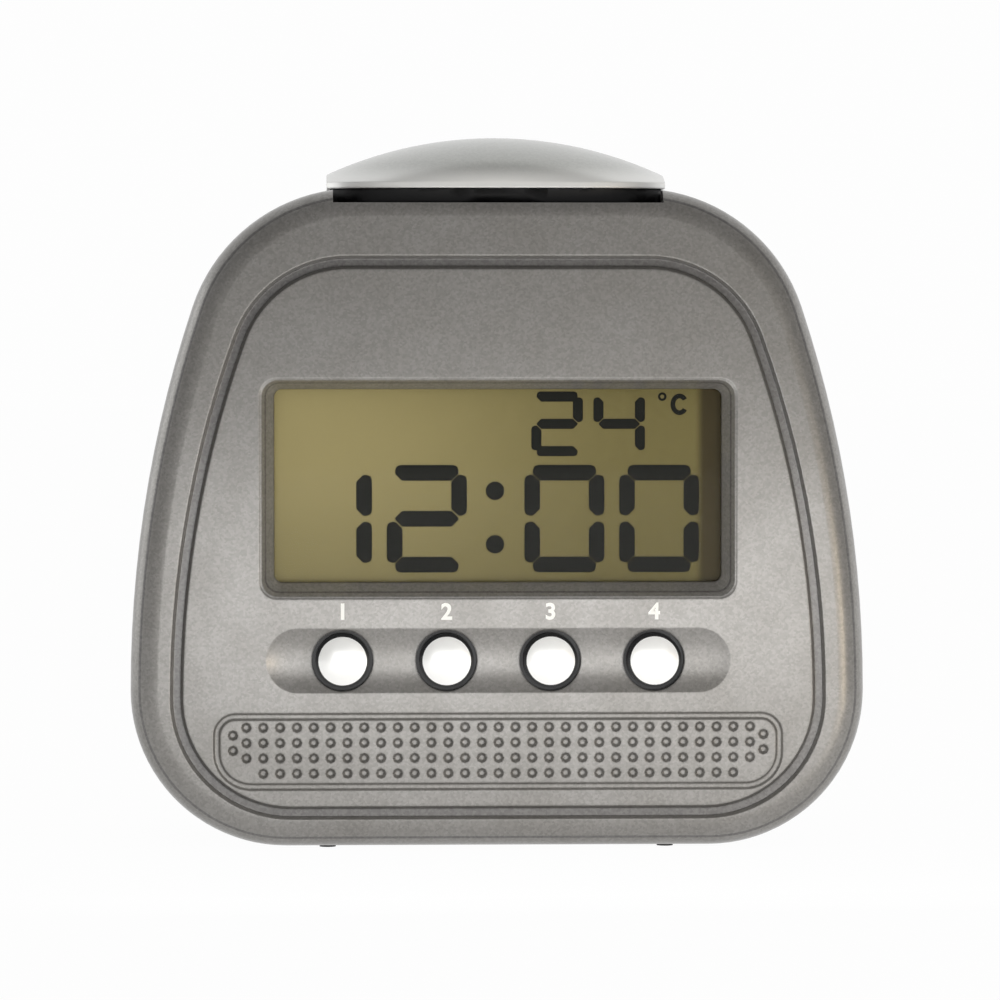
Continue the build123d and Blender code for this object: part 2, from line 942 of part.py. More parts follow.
def switch_bodies():
    """Four push switches on the main board, each with a socket for its stem."""
    bodies = []
    for x in button_places():
        square = about(x, switch_size)
        body = block(square, (switch_face(), board_front), about(button_row_z, switch_size))
        body = chamfer(body.edges().filter_by(Axis.Y), switch_corner)
        socket_back = switch_face() + switch_stem_seat + button_travel + seat_gap
        radius = switch_stem_radius + seat_gap
        bodies.append(body - rod(x, button_row_z, radius, switch_face(), socket_back))
    return bodies


def lcd_holder():
    """Frame that backs the display against the main board, with a slot for the connector."""
    side = slide_gap
    body = pane(holder_front, board_front, 0, side)
    hollow_width = pane_width - 2 * holder_wall - 2 * side
    hollow_height = pane_height - glass_ledge - 2 * holder_wall
    hollow = Pos(0, pane_z + glass_ledge / 2) * Rectangle(hollow_width, hollow_height)
    body -= slab(hollow, holder_front + holder_face, board_front)
    bar_height = glass_ledge - slide_gap
    bar = Pos(0, pane_base + bar_height / 2) * Rectangle(pane_width - 2 * side, bar_height)
    body += slab(bar, rear_glass_face + seat_gap, holder_front)
    slot = Pos(0, zebra_z()) * Rectangle(zebra_length + 2 * slide_gap, zebra_width + 2 * slide_gap)
    return body - slab(slot, rear_glass_face, board_front)


def zebra_z():
    """Middle height of the connector under the display."""
    return pane_base + glass_ledge / 2


def zebra_strip():
    """Striped rubber connector from the glass to the board."""
    strip = Pos(0, zebra_z()) * Rectangle(zebra_length, zebra_width)
    return slab(strip, rear_glass_face, board_front)


def main_board():
    """Circuit board behind the display."""
    centre = board_base + board_height / 2
    board = slab(rounded_rectangle(board_width, board_height, centre, board_corner), board_front, board_back)
    for x, z in board_screw_places():
        board -= rod(x, z, board_screw_radius + slide_gap, board_front, board_back)
    return board


def board_screws():
    """Four small screws that hold the main board to the front half."""
    screws = []
    for x, z in board_screw_places():
        head = rod(x, z, screw_head_radius, board_back, board_back + screw_head_height)
        screws.append(head + rod(x, z, board_screw_radius, board_screw_grip, board_back))
    return screws


def case_screws():
    """Four screws at the bottom of the wells in the rear half, with a crossed drive."""
    screws = []
    head_front = parting + screw_floor
    head_back = head_front + case_head_height
    for x, z in case_screws_xz():
        screw = rod(x, z, case_head_radius, head_front, head_back)
        screw = chamfer(screw.faces().sort_by(Axis.Y)[-1].edges(), case_head_edge)
        cross = Rectangle(2 * case_screw_radius, drive_recess / 2)
        cross += Rectangle(drive_recess / 2, 2 * case_screw_radius)
        screw -= slab(Pos(x, z) * cross, head_back - drive_recess, head_back)
        screws.append(screw + rod(x, z, case_screw_radius, case_screw_grip, head_front))
    return screws


def chip_cover():
    """Drop of black resin over the bare chip."""
    radius = (chip_cover_radius**2 + chip_cover_height**2) / (2 * chip_cover_height)
    ball = Pos(chip_x, board_back + chip_cover_height - radius, chip_z) * Sphere(radius)
    return ball & rod(chip_x, chip_z, chip_cover_radius, board_back, board_back + 2 * chip_cover_height)


def crystal():
    """Clock crystal in its can, lying on the board."""
    can = Pos(crystal_x, board_back + crystal_radius, crystal_z) * Rot(0, 90, 0)
    return can * Cylinder(crystal_radius, crystal_length)


def capacitor():
    """Electrolytic capacitor standing on the board."""
    can = rod(capacitor_x, capacitor_z, capacitor_radius, board_back, board_back + capacitor_height)
    return chamfer(can.faces().sort_by(Axis.Y)[-1].edges(), capacitor_edge)


def resistors():
    """Row of small surface resistors."""
    return [
        block(
            about(resistor_x + index * resistor_pitch, resistor_width),
            (board_back, board_back + resistor_height),
            about(resistor_z, resistor_length),
        )
        for index in range(resistor_count)
    ]


def speaker_frame():
    """Pressed steel basket with its flange against the back."""
    back = case_depth - back_wall
    flange = rod(0, speaker_z, speaker_radius, back - speaker_flange, back)
    front = back - speaker_depth
    basket = rod(0, speaker_z, speaker_basket_radius, front, back)
    inner = rod(0, speaker_z, speaker_basket_radius - speaker_steel, front + speaker_steel, back)
    return flange + basket - inner


def speaker_cone():
    """Thin domed diaphragm inside the flange."""
    radius = cone_radius - seat_gap
    crown = (radius**2 + cone_crown**2) / (2 * cone_crown)
    rim = case_depth - back_wall - cone_crown - 2 * cone_thickness
    dome = Pos(0, rim + cone_crown - crown, speaker_z) * (Sphere(crown) - Sphere(crown - cone_thickness))
    sheet = dome & rod(0, speaker_z, radius, rim, rim + 2 * cone_crown)
    ring_inner = radius - 2 * cone_thickness
    ring = rod(0, speaker_z, radius, rim - cone_thickness, rim + cone_thickness)
    return sheet + (ring - rod(0, speaker_z, ring_inner, rim - cone_thickness, rim + cone_thickness))


def speaker_magnet():
    """Magnet and its cup in front of the basket."""
    front = case_depth - back_wall - speaker_depth
    cup = rod(0, speaker_z, magnet_radius, front - magnet_depth, front)
    return chamfer(cup.faces().sort_by(Axis.Y)[0].edges(), speaker_steel)


def battery_cell(z, way):
    """Standard cell lying across the bay, with its button end to the left or right."""
    shell = Cylinder(cell_radius, cell_length)
    shell = chamfer(shell.edges(), cell_gap)
    nub = Pos(0, 0, (cell_length + nub_length) / 2) * Cylinder(nub_radius, nub_length)
    cell = Rot(0, 90 * way, 0) * (shell + nub)
    button_end = bay_width / 2 - contact_thickness
    centre = button_end - nub_length - cell_length / 2
    return Pos(way * centre, cell_y, z) * cell


def battery_cells():
    """Two cells side by side, head to tail."""
    return [battery_cell(high_cell_z, 1), battery_cell(low_cell_z, -1)]


def battery_springs():
    """Cone springs against the flat ends of the cells."""
    rise = battery_spring_room - battery_wire
    spring = coil(battery_spring_base, battery_spring_tip, rise, battery_spring_turns, battery_wire)
    foot = bay_width / 2 - contact_thickness - battery_wire / 2
    left = Pos(-foot, cell_y, high_cell_z) * Rot(0, 90, 0) * spring
    right = Pos(foot, cell_y, low_cell_z) * Rot(0, -90, 0) * spring
    return [left, right]


def contact_plate(side, low_z, high_z):
    """Plated strip on an end wall of the bay."""
    face = bay_width / 2
    x_range = sorted((side * face, side * (face - contact_thickness)))
    y_range = about(cell_y, contact_width)
    return block(x_range, y_range, (low_z - contact_width / 2, high_z + contact_width / 2))


def end_contact(z):
    """Contact on the right wall with a solder tab through the floor of the bay."""
    face = bay_width / 2
    tab_y = (bay_front - bay_floor - tab_reach, cell_y)
    tab = block((face - contact_thickness, face), tab_y, about(z, tab_width))
    return contact_plate(1, z, z) + tab


def link_contact():
    """Contact on the left wall that joins the two cells."""
    return contact_plate(-1, low_cell_z, high_cell_z)


def battery_door():
    """Door of the battery bay, with pins at its lower edge, a latch tongue and finger ribs."""
    body = block(about(0, door_width), (door_back, door_face), (door_axis_z, door_base + door_height))
    top_corners = body.edges().filter_by(Axis.Y).group_by(Axis.Z)[-1]
    body = fillet(top_corners, door_corner)
    across = Pos(0, door_axis_y, door_axis_z) * Rot(0, 90, 0)
    body += across * Cylinder(door_thickness / 2, door_width)
    body += across * Cylinder(pin_radius, door_width + 2 * pin_length)
    tongue_top = bay_base + bay_height - latch_gap
    tongue_z = (tongue_top - latch_thickness, tongue_top)
    body += block(about(0, latch_width), (door_back - latch_depth, door_back), tongue_z)
    top = door_base + door_height
    for index in range(grip_count):
        z = top - (index + 1) * grip_pitch
        rib = block(about(0, grip_length), (door_face, door_face + grip_height), about(z, grip_width))
        body += rib
    return body


def run_radii(points):
    """Largest bend radius at each inner point of a route, as a share of its shorter run."""
    radii = []
    for before, corner, after in zip(points, points[1:], points[2:]):
        run_in = corner - before
        run_out = after - corner
        turn = radians(run_in.get_angle(run_out))
        radii.append(bend_share * min(run_in.length, run_out.length) / tan(turn / 2))
    return radii


def wire(name, places, diameter):
    """Wire along straight runs joined by tangent arcs."""
    points = [Vector(*place) for place in places]
    radii = run_radii(points)
    path = FilletPolyline(*points, radius=radii)
    start = Plane(origin=points[0], z_dir=points[1] - points[0])
    section = start * RegularPolygon(diameter / 2, wire_sides)
    solid = sweep(section, path)
    swept = section.area * path.length
    share = round(solid.volume / swept, 3)
    bends = [round(radius, 1) for radius in radii]
    print(name, "bend radii", bends, "length", round(path.length, 1), "volume", share)
    return solid


def speaker_wires():
    """Two leads from the front of the basket to the main board."""
    face = case_depth - back_wall - speaker_depth
    start_z = speaker_z - magnet_radius - 2 * wire_diameter
    end_z = speaker_z - speaker_wire_drop
    leads = []
    for side in (-1, 1):
        x = side * wire_diameter
        end_x = side * (wire_diameter + speaker_wire_spread)
        places = [
            (x, face, start_z),
            (x, face - speaker_wire_run, start_z),
            (end_x, face - speaker_wire_reach, end_z),
            (end_x, board_back, end_z),
        ]
        leads.append(wire("speaker wire", places, wire_diameter))
    return leads


def battery_wires():
    """Two leads from the contact tabs to the main board."""
    start_y = bay_front - bay_floor - tab_reach
    start_x = bay_width / 2 - contact_thickness / 2
    end_x = start_x + battery_wire_side
    leads = []
    for z in (low_cell_z, high_cell_z):
        end_z = z + battery_wire_rise
        places = [
            (start_x, start_y, z),
            (start_x, start_y - battery_wire_run, z),
            (end_x, start_y - battery_wire_reach, end_z),
            (end_x, board_back, end_z),
        ]
        leads.append(wire("battery wire", places, wire_diameter))
    return leads


def talk_wires():
    """Two leads from the talk board down to the main board."""
    under = talk_board_top() - talk_board_thickness
    leads = []
    for side in (-1, 1):
        x = side * talk_wire_x
        places = [
            (x, talk_wire_y, under),
            (x, talk_wire_y, under - talk_wire_run),
            (x, talk_wire_y - talk_wire_turn, under - talk_wire_drop),
            (x, board_back, under - talk_wire_drop),
        ]
        leads.append(wire("talk wire", places, wire_diameter))
    return leads


def thermistor():
    """Bead of the temperature sensor on two stiff leads from the board."""
    bead = Pos(slit_x, bead_y, bead_z) * Sphere(bead_radius)
    for side in (-1, 1):
        x = slit_x + side * lead_spread / 2
        places = [
            (x, board_back, sensor_board_z),
            (x, board_back + sensor_lead_run, sensor_board_z),
            (x, bead_y, bead_z + sensor_lead_drop),
            (x, bead_y, bead_z),
        ]
        bead += wire("sensor lead", places, lead_diameter)
    return bead


def save(name, solids):
    """Write one node, moved so that the origin is the middle of the footprint."""
    parts = solids if isinstance(solids, list) else [solids]
    shift = Pos(0, front_reach - overall_depth / 2, foot_stand)
    placed = [shift * part for part in parts]
    shape = Compound(children=[solid for part in placed for solid in part.solids()])
    export_step(shape, f"parts/{name}.step")


os.makedirs("parts", exist_ok=True)
save("front_case", front_case())
save("rear_case", rear_case())
save("case_screws", case_screws())
save("front_feet", feet(front_foot_y))
save("rear_feet", feet(rear_foot_y))
save("display_lens", pane(front_wall, lens_back))
save("front_polariser", pane(lens_back, front_glass_face, glass_ledge))
save("lcd_front_glass", pane(front_glass_face, rear_glass_face))
save("lcd_rear_glass", pane(rear_glass_face, reflector_face, glass_ledge))
save("lcd_reflector", pane(reflector_face, holder_front, glass_ledge))
save("lcd_holder", lcd_holder())
save("zebra_strip", zebra_strip())
save("main_board", main_board())
save("board_screws", board_screws())
save("switch_bodies", switch_bodies())
for name, x in zip(("mode", "hour", "minute", "format"), button_places()):
    save(f"{name}_button", front_button(x))
    save(f"{name}_switch_stem", switch_stem(x))
save("chip_cover", chip_cover())
save("crystal", crystal())
save("capacitor", capacitor())
save("resistors", resistors())
save("thermistor", thermistor())
save("talk_button_cap", talk_button_cap())
save("talk_button_carrier", talk_button_carrier())
save("talk_springs", talk_springs())
save("talk_board", talk_board())
save("talk_board_screws", talk_board_screws())
save("talk_switch_body", talk_switch_body())
save("talk_switch_stem", talk_switch_stem())
save("speaker_frame", speaker_frame())
save("speaker_cone", speaker_cone())
save("speaker_magnet", speaker_magnet())
save("speaker_wires", speaker_wires())
save("battery_cells", battery_cells())
save("battery_springs", battery_springs())
save("link_contact", link_contact())
save("negative_contact", end_contact(low_cell_z))
save("positive_contact", end_contact(high_cell_z))
save("battery_door", battery_door())
save("battery_wires", battery_wires())
save("talk_wires", talk_wires())
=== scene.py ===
from math import cos, pi, radians, sin

import bmesh
import bpy
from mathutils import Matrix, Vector


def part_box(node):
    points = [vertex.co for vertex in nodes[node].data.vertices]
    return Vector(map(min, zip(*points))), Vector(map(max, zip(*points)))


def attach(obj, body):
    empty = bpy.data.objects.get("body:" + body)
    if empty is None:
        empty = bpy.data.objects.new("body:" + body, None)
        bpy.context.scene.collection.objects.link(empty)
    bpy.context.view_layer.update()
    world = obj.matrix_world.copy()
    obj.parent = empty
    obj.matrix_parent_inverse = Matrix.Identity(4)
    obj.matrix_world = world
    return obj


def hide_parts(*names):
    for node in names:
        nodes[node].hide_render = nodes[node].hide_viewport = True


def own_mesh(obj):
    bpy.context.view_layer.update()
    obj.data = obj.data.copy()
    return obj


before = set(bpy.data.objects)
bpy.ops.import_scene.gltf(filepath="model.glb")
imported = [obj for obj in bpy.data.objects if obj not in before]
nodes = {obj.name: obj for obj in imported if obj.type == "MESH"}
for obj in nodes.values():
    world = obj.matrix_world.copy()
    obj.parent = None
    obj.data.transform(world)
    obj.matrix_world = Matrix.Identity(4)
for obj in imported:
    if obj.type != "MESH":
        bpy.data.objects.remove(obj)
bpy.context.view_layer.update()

# Housing: two halves moulded in ABS and sprayed with a metallic paint, screwed together from
# behind. The battery door behind is moulded and sprayed with them, so it wears the same paint.
two_colours = {"data_type": "RGBA"}
flake_size = 0.00025
edge_radius = 0.0003


def linear(code):
    """Linear colour of an sRGB hex code."""
    parts = [int(code[i : i + 2], 16) / 255 for i in (1, 3, 5)]
    return [c / 12.92 if c <= 0.04045 else ((c + 0.055) / 1.055) ** 2.4 for c in parts] + [1]


def add(tree, kind, settings=None, inputs=None):
    """Node with its settings. An input takes a value, a hex code or the output that feeds it."""
    made = tree.nodes.new(kind)
    for name, value in (settings or {}).items():
        setattr(made, name, value)
    for name, value in (inputs or {}).items():
        if isinstance(value, bpy.types.NodeSocket):
            tree.links.new(value, made.inputs[name])
        else:
            made.inputs[name].default_value = linear(value) if isinstance(value, str) else value
    return made


def new_material(name, colour, metallic, roughness):
    """Material with a plain shader, its node tree and its Object coordinates."""
    material = bpy.data.materials.new(name)
    material.use_nodes = True
    tree = material.node_tree
    shader = tree.nodes["Principled BSDF"]
    shader.inputs["Base Color"].default_value = linear(colour)
    shader.inputs["Metallic"].default_value = metallic
    shader.inputs["Roughness"].default_value = roughness
    return material, tree, shader, add(tree, "ShaderNodeTexCoord").outputs["Object"]


def flaked(name, colour, metallic, roughness, coat_roughness, relief):
    """Sprayed lacquer under a clear coat: each flake has its own share, and edges look rounded."""
    material, tree, shader, place = new_material(name, colour, metallic, roughness)
    shader.inputs["Coat Weight"].default_value = 0.5
    shader.inputs["Coat Roughness"].default_value = coat_roughness
    cells = add(tree, "ShaderNodeTexVoronoi", inputs={"Scale": 1 / flake_size, "Vector": place})
    channels = add(tree, "ShaderNodeSeparateColor", inputs={"Color": cells.outputs["Color"]})
    flake = channels.outputs["Red"]
    edge = add(tree, "ShaderNodeBevel", {"samples": 6}, {"Radius": edge_radius}).outputs[0]
    grain = add(
        tree,
        "ShaderNodeBump",
        inputs={"Strength": relief, "Distance": 0.00002, "Height": flake, "Normal": edge},
    )
    tree.links.new(grain.outputs["Normal"], shader.inputs["Normal"])
    return material, tree, shader, place, flake


def mottled(name, dark, pale, grain, metallic, gloss, relief):
    """Material whose colour, roughness and height drift in patches of the size of its grain."""
    smooth, rough = gloss
    material, tree, shader, place = new_material(name, pale, metallic, smooth)
    share = add(
        tree, "ShaderNodeTexNoise", inputs={"Scale": 1 / grain, "Detail": 3, "Vector": place}
    ).outputs["Fac"]
    colour = add(tree, "ShaderNodeMix", two_colours, {0: share, 6: dark, 7: pale}).outputs[2]
    tree.links.new(colour, shader.inputs["Base Color"])
    dullness = add(
        tree, "ShaderNodeMapRange", inputs={"To Min": smooth, "To Max": rough, "Value": share}
    )
    tree.links.new(dullness.outputs[0], shader.inputs["Roughness"])
    bump = add(
        tree, "ShaderNodeBump", inputs={"Strength": 0.5, "Distance": relief, "Height": share}
    )
    tree.links.new(bump.outputs["Normal"], shader.inputs["Normal"])
    return material, tree, shader, place, colour


def stuff(*look):
    """Mottled material that needs nothing more."""
    return mottled(*look)[0]


def past(tree, place, axis, edge):
    """One where a coordinate is past an edge, else zero."""
    along = add(tree, "ShaderNodeSeparateXYZ", inputs={"Vector": place}).outputs[axis]
    step = add(tree, "ShaderNodeMath", {"operation": "GREATER_THAN"}, {0: along, 1: edge})
    return step.outputs[0]


def coat(material, *names):
    """Puts a material on CAD nodes."""
    for name in names:
        for held in nodes[name].material_slots:
            held.material = material


# Metallic lacquer, sprayed: aluminium flakes in a warm grey binder. The eye gets a soft sheen, a
# fine grain and rounded edges. Real flakes are 0.03 mm across, and here 0.25 mm so that they show.
case_paint, tree, shader, place, flake = flaked(
    "metallic_lacquer_sprayed", "#8f8d8a", 0.5, 0.36, 0.22, 0.2
)
spray_patch = 0.007
share = add(
    tree, "ShaderNodeTexNoise", inputs={"Scale": 1 / spray_patch, "Detail": 3, "Vector": place}
).outputs["Fac"]
tint = add(tree, "ShaderNodeMix", two_colours, {0: flake, 6: "#868481", 7: "#979592"}).outputs[2]
drift = add(tree, "ShaderNodeMix", two_colours, {0: share, 6: "#ffffff", 7: "#dddbd7"}).outputs[2]
shade = add(
    tree,
    "ShaderNodeMix",
    {"data_type": "RGBA", "blend_type": "MULTIPLY"},
    {0: 1, 6: tint, 7: drift},
).outputs[2]
rough = add(tree, "ShaderNodeMapRange", inputs={"To Min": 0.3, "To Max": 0.42, "Value": share})
tree.links.new(rough.outputs[0], shader.inputs["Roughness"])
# The bottom of the groove round the panel is drawn darker, a painted shade of the hollow. The slot
# of the keys passes through the same depth and is left out of this painted shade.
groove_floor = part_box("front_case")[0].y + 0.0008
groove_margin = 0.00012
slot_height, slot_half_height, slot_half_length = 0.0221, 0.0043, 0.0275
parts = add(tree, "ShaderNodeSeparateXYZ", inputs={"Vector": place}).outputs
near = {"operation": "COMPARE"}
deep = add(tree, "ShaderNodeMath", near, {0: parts["Y"], 1: groove_floor, 2: groove_margin})
in_row = add(tree, "ShaderNodeMath", near, {0: parts["Z"], 1: slot_height, 2: slot_half_height})
in_line = add(tree, "ShaderNodeMath", near, {0: parts["X"], 1: 0, 2: slot_half_length})
in_slot = add(
    tree,
    "ShaderNodeMath",
    {"operation": "MULTIPLY"},
    {0: in_row.outputs[0], 1: in_line.outputs[0]},
)
painted_groove_shade = add(
    tree,
    "ShaderNodeMath",
    {"operation": "SUBTRACT", "use_clamp": True},
    {0: deep.outputs[0], 1: in_slot.outputs[0]},
).outputs[0]
# Painted shade: the colour of the groove bottom.
dull = add(tree, "ShaderNodeMix", two_colours, {0: flake, 6: "#5f5d5b", 7: "#72706e"}).outputs[2]
whole = add(tree, "ShaderNodeMix", two_colours, {0: painted_groove_shade, 6: shade, 7: dull}).outputs[2]
tree.links.new(whole, shader.inputs["Base Color"])
coat(case_paint, "front_case", "rear_case", "battery_door")

# Talk button: a hollow ABS dome, moulded and sprayed silver, with a painted highlight that makes
# it near white round its foot, on a black ABS frame that snaps into its underside. The frame
# carries the push post and two snap legs.
silver_paint, tree, shader, place, flake = flaked(
    "silver_lacquer_sprayed", "#c4c5c1", 0.35, 0.34, 0.2, 0.15
)
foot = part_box("talk_button_cap")[0].z
painted_highlight_to, silver_from = foot + 0.0008, foot + 0.003
eased = {"interpolation_type": "SMOOTHSTEP"}
height = add(tree, "ShaderNodeSeparateXYZ", inputs={"Vector": place}).outputs["Z"]
share = add(
    tree,
    "ShaderNodeMapRange",
    eased,
    {"From Min": painted_highlight_to, "From Max": silver_from, "Value": height},
).outputs[0]
body = add(tree, "ShaderNodeMix", two_colours, {0: flake, 6: "#bfc0bc", 7: "#c9cac6"}).outputs[2]
# Painted highlight: near white at the foot of the dome, fading into the silver above it.
whole = add(tree, "ShaderNodeMix", two_colours, {0: share, 6: "#f6f6f3", 7: body}).outputs[2]
tree.links.new(whole, shader.inputs["Base Color"])
coat(silver_paint, "talk_button_cap")

# Black ABS, moulded in a spark-eroded tool: near black with a dull, faintly pebbled face.
black_abs = stuff("black_abs_moulded", "#0e0e0f", "#18181a", 0.0004, 0, (0.45, 0.65), 0.00002)
coat(black_abs, "talk_button_carrier")

# The frame's plate is drawn thicker, downwards, so that no light shows under its ends.
plate_bottom = foot - 0.00115
plate_extra = 0.00045
bpy.ops.object.select_all(action="DESELECT")
carrier = nodes["talk_button_carrier"]
carrier.select_set(True)
bpy.context.view_layer.objects.active = carrier
bpy.ops.object.duplicate()
thick_frame = bpy.context.object
thick_frame.name = "talk_button_frame"
bpy.ops.object.mode_set(mode="EDIT")
bpy.ops.mesh.select_mode(type="VERT")
bpy.ops.mesh.select_all(action="SELECT")
bpy.ops.mesh.remove_doubles(threshold=0.000001)
shape = bmesh.from_edit_mesh(thick_frame.data)
for vert in shape.verts:
    vert.select_set(abs(vert.co.z - plate_bottom) < 0.00001)
shape.select_flush_mode()
bmesh.update_edit_mesh(thick_frame.data)
bpy.ops.transform.translate(value=(0, 0, -plate_extra))
bpy.ops.object.mode_set(mode="OBJECT")
bpy.ops.object.shade_smooth_by_angle(angle=radians(30))
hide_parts("talk_button_carrier")
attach(thick_frame, "talk_key")

# Talk springs: two coils of round spring steel wire in the well, each on its pip below and in its
# cup above. They lift the talk button.
talk_wire = 0.0005
talk_turns = 5


def wound_wire(centre, way, first, last, rise, turns, wire, steps=32):
    """Round wire wound about a centre, from a first to a last radius, rising along X or Z."""
    bpy.ops.object.select_all(action="DESELECT")
    bpy.ops.curve.primitive_nurbs_path_add()
    coil = bpy.context.object
    curve = coil.data
    curve.splines.clear()
    path = curve.splines.new("POLY")
    count = round(turns * steps)
    path.points.add(count)
    for index in range(count + 1):
        share = index / count
        radius = first + (last - first) * share
        angle = 2 * pi * turns * share
        a, b = radius * cos(angle), radius * sin(angle)
        spot = Vector((a, b, rise * share)) if way == "Z" else Vector((rise * share, a, b))
        path.points[index].co = (*(spot + centre), 1)
    curve.dimensions = "3D"
    curve.bevel_depth = wire / 2
    curve.bevel_resolution = 3
    curve.use_fill_caps = True
    bpy.ops.object.convert(target="MESH")
    bpy.ops.object.mode_set(mode="EDIT")
    bpy.ops.mesh.select_all(action="SELECT")
    bpy.ops.mesh.remove_doubles(threshold=0.000001)
    bpy.ops.mesh.normals_make_consistent()
    bpy.ops.object.mode_set(mode="OBJECT")
    bpy.ops.object.shade_smooth_by_angle(angle=radians(40))
    return coil


def joined(pieces, name):
    """One object of several, with its place in its mesh."""
    bpy.ops.object.select_all(action="DESELECT")
    for piece in pieces:
        piece.select_set(True)
    bpy.context.view_layer.objects.active = pieces[0]
    if len(pieces) > 1:
        bpy.ops.object.join()
    whole = bpy.context.object
    whole.name = name
    bpy.ops.object.transform_apply()
    return whole


# Spring steel, drawn: the die leaves a bright, slightly dull face with faint lines.
spring_steel = stuff(
    "spring_steel_drawn", "#a8a8a8", "#c2c2c2", 0.0006, 1, (0.25, 0.4), 0.000005
)
low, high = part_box("talk_springs")
spring_radius = (high.y - low.y) / 2 - talk_wire / 2
spring_y = (low.y + high.y) / 2
spring_x = high.x - (high.y - low.y) / 2
spring_rise = high.z - low.z - talk_wire
coils = []
for side in (-1, 1):
    centre = Vector((side * spring_x, spring_y, low.z + talk_wire / 2))
    coils.append(
        wound_wire(centre, "Z", spring_radius, spring_radius, spring_rise, talk_turns, talk_wire)
    )
talk_coils = joined(coils, "talk_spring_coils")
talk_coils.data.materials.append(spring_steel)
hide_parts("talk_springs")
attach(talk_coils, "housing")
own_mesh(talk_coils)

# Front keys: ABS caps with bright plating, satin at their domed faces. Their near white colour is
# a painted reflection of the white room round them. From just inside the edge of each face the
# colour turns near black, a painted shadow of the gap round the key, so the edge, the side and the
# flange show as a dark ring.
painted_ring_edge = -0.02089
plating_metallic = 0.35
plating, tree, shader, place, painted_white_reflection = mottled(
    "plating_painted_reflection_and_ring", "#f8f8f5", "#fdfdfb", 0.0015, 1, (0.26, 0.34), 0.000002
)
# Painted shadow: near black and not metallic past this depth, a dark ring round each face.
painted_ring_mask = past(tree, place, "Y", painted_ring_edge)
whole = add(tree, "ShaderNodeMix", two_colours, {0: painted_ring_mask, 6: painted_white_reflection, 7: "#131314"}).outputs[2]
tree.links.new(whole, shader.inputs["Base Color"])
metal = add(
    tree,
    "ShaderNodeMapRange",
    inputs={"To Min": plating_metallic, "To Max": 0, "Value": painted_ring_mask},
)
tree.links.new(metal.outputs[0], shader.inputs["Metallic"])
keys = ("mode", "hour", "minute", "format")
coat(plating, *(f"{key}_button" for key in keys))

# Push switches: four small ones on the main board and one on the talk board, each a black
# moulded body with a sprung stem. The stem of the talk switch is white polystyrene.
coat(black_abs, "switch_bodies", "talk_switch_body", *(f"{key}_switch_stem" for key in keys))
white_plastic = stuff(
    "white_polystyrene_moulded", "#cfcfc9", "#dededa", 0.002, 0, (0.4, 0.55), 0.00001
)
coat(white_plastic, "talk_switch_stem")

# Display lens: a clear acrylic pane held in the rib behind the window. It is nearly all seen
# through, and only its gloss shows.
acrylic, tree, shader, place, colour = mottled(
    "acrylic_clear_moulded", "#15150f", "#1c1c16", 0.01, 0, (0.02, 0.05), 0.000001
)
shader.inputs["Alpha"].default_value = 0.05
coat(acrylic, "display_lens")

# Liquid crystal cell: two panes of glass with a polarising film in front and a reflector foil
# behind, glued in a stack. The film is olive. Painted light makes it paler towards the left, and
# painted shade makes it darker towards the bottom and brown in a band at the right edge.
pale_left, olive_right = -0.026, 0.018
painted_shadow_start, painted_shadow_end = 0.0228, 0.0240
dull_low, dull_high = 0.026, 0.05
film, tree, shader, place, colour = mottled(
    "polariser_film_olive", "#766d43", "#7f764b", 0.0007, 0, (0.35, 0.45), 0.000002
)
shader.inputs["Specular IOR Level"].default_value = 0.1
parts = add(tree, "ShaderNodeSeparateXYZ", inputs={"Vector": place}).outputs
# Painted light: the film turns paler towards the left.
across = add(
    tree,
    "ShaderNodeMapRange",
    eased,
    {"From Min": pale_left, "From Max": olive_right, "Value": parts["X"]},
).outputs[0]
# Painted shadow of the window's right wall: a brown band at the right edge of the film.
painted_right_shadow = add(
    tree,
    "ShaderNodeMapRange",
    eased,
    {"From Min": painted_shadow_start, "From Max": painted_shadow_end, "Value": parts["X"]},
).outputs[0]
# Painted shade: the film turns darker towards the bottom.
low = add(
    tree,
    "ShaderNodeMapRange",
    eased,
    {
        "From Min": dull_low,
        "From Max": dull_high,
        "To Min": 0.55,
        "To Max": 0,
        "Value": parts["Z"],
    },
).outputs[0]
paler = add(tree, "ShaderNodeMix", two_colours, {0: across, 6: "#aca06f", 7: colour}).outputs[2]
duller = add(tree, "ShaderNodeMix", two_colours, {0: low, 6: paler, 7: "#5f5836"}).outputs[2]
whole = add(tree, "ShaderNodeMix", two_colours, {0: painted_right_shadow, 6: duller, 7: "#453d27"}).outputs[2]
tree.links.new(whole, shader.inputs["Base Color"])
coat(film, "front_polariser")
glass = stuff("soda_glass_cut", "#20261f", "#2a3129", 0.004, 0, (0.03, 0.08), 0.000002)
coat(glass, "lcd_front_glass", "lcd_rear_glass")
foil = stuff(
    "reflector_foil_embossed", "#a8a58f", "#bcb9a3", 0.0003, 0.8, (0.4, 0.55), 0.00001
)
coat(foil, "lcd_reflector")

# Figures of the display: liquid crystal that turns dark over the clear electrodes. Each bar is a
# plate with cut corners, so that fine gaps stay between the bars. They lie on the film.
bar_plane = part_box("front_polariser")[0].y - 0.00003
bar_width = 0.00183
outer_cut, inner_cut = 0.0006, 0.0008
time_width, time_height = 0.0093, 0.01247
time_top = 0.0446
degrees_width, degrees_height = 0.006, 0.0075
degrees_top = 0.0531
colon_x, colon_size = -0.0003, 0.00216
bars = []


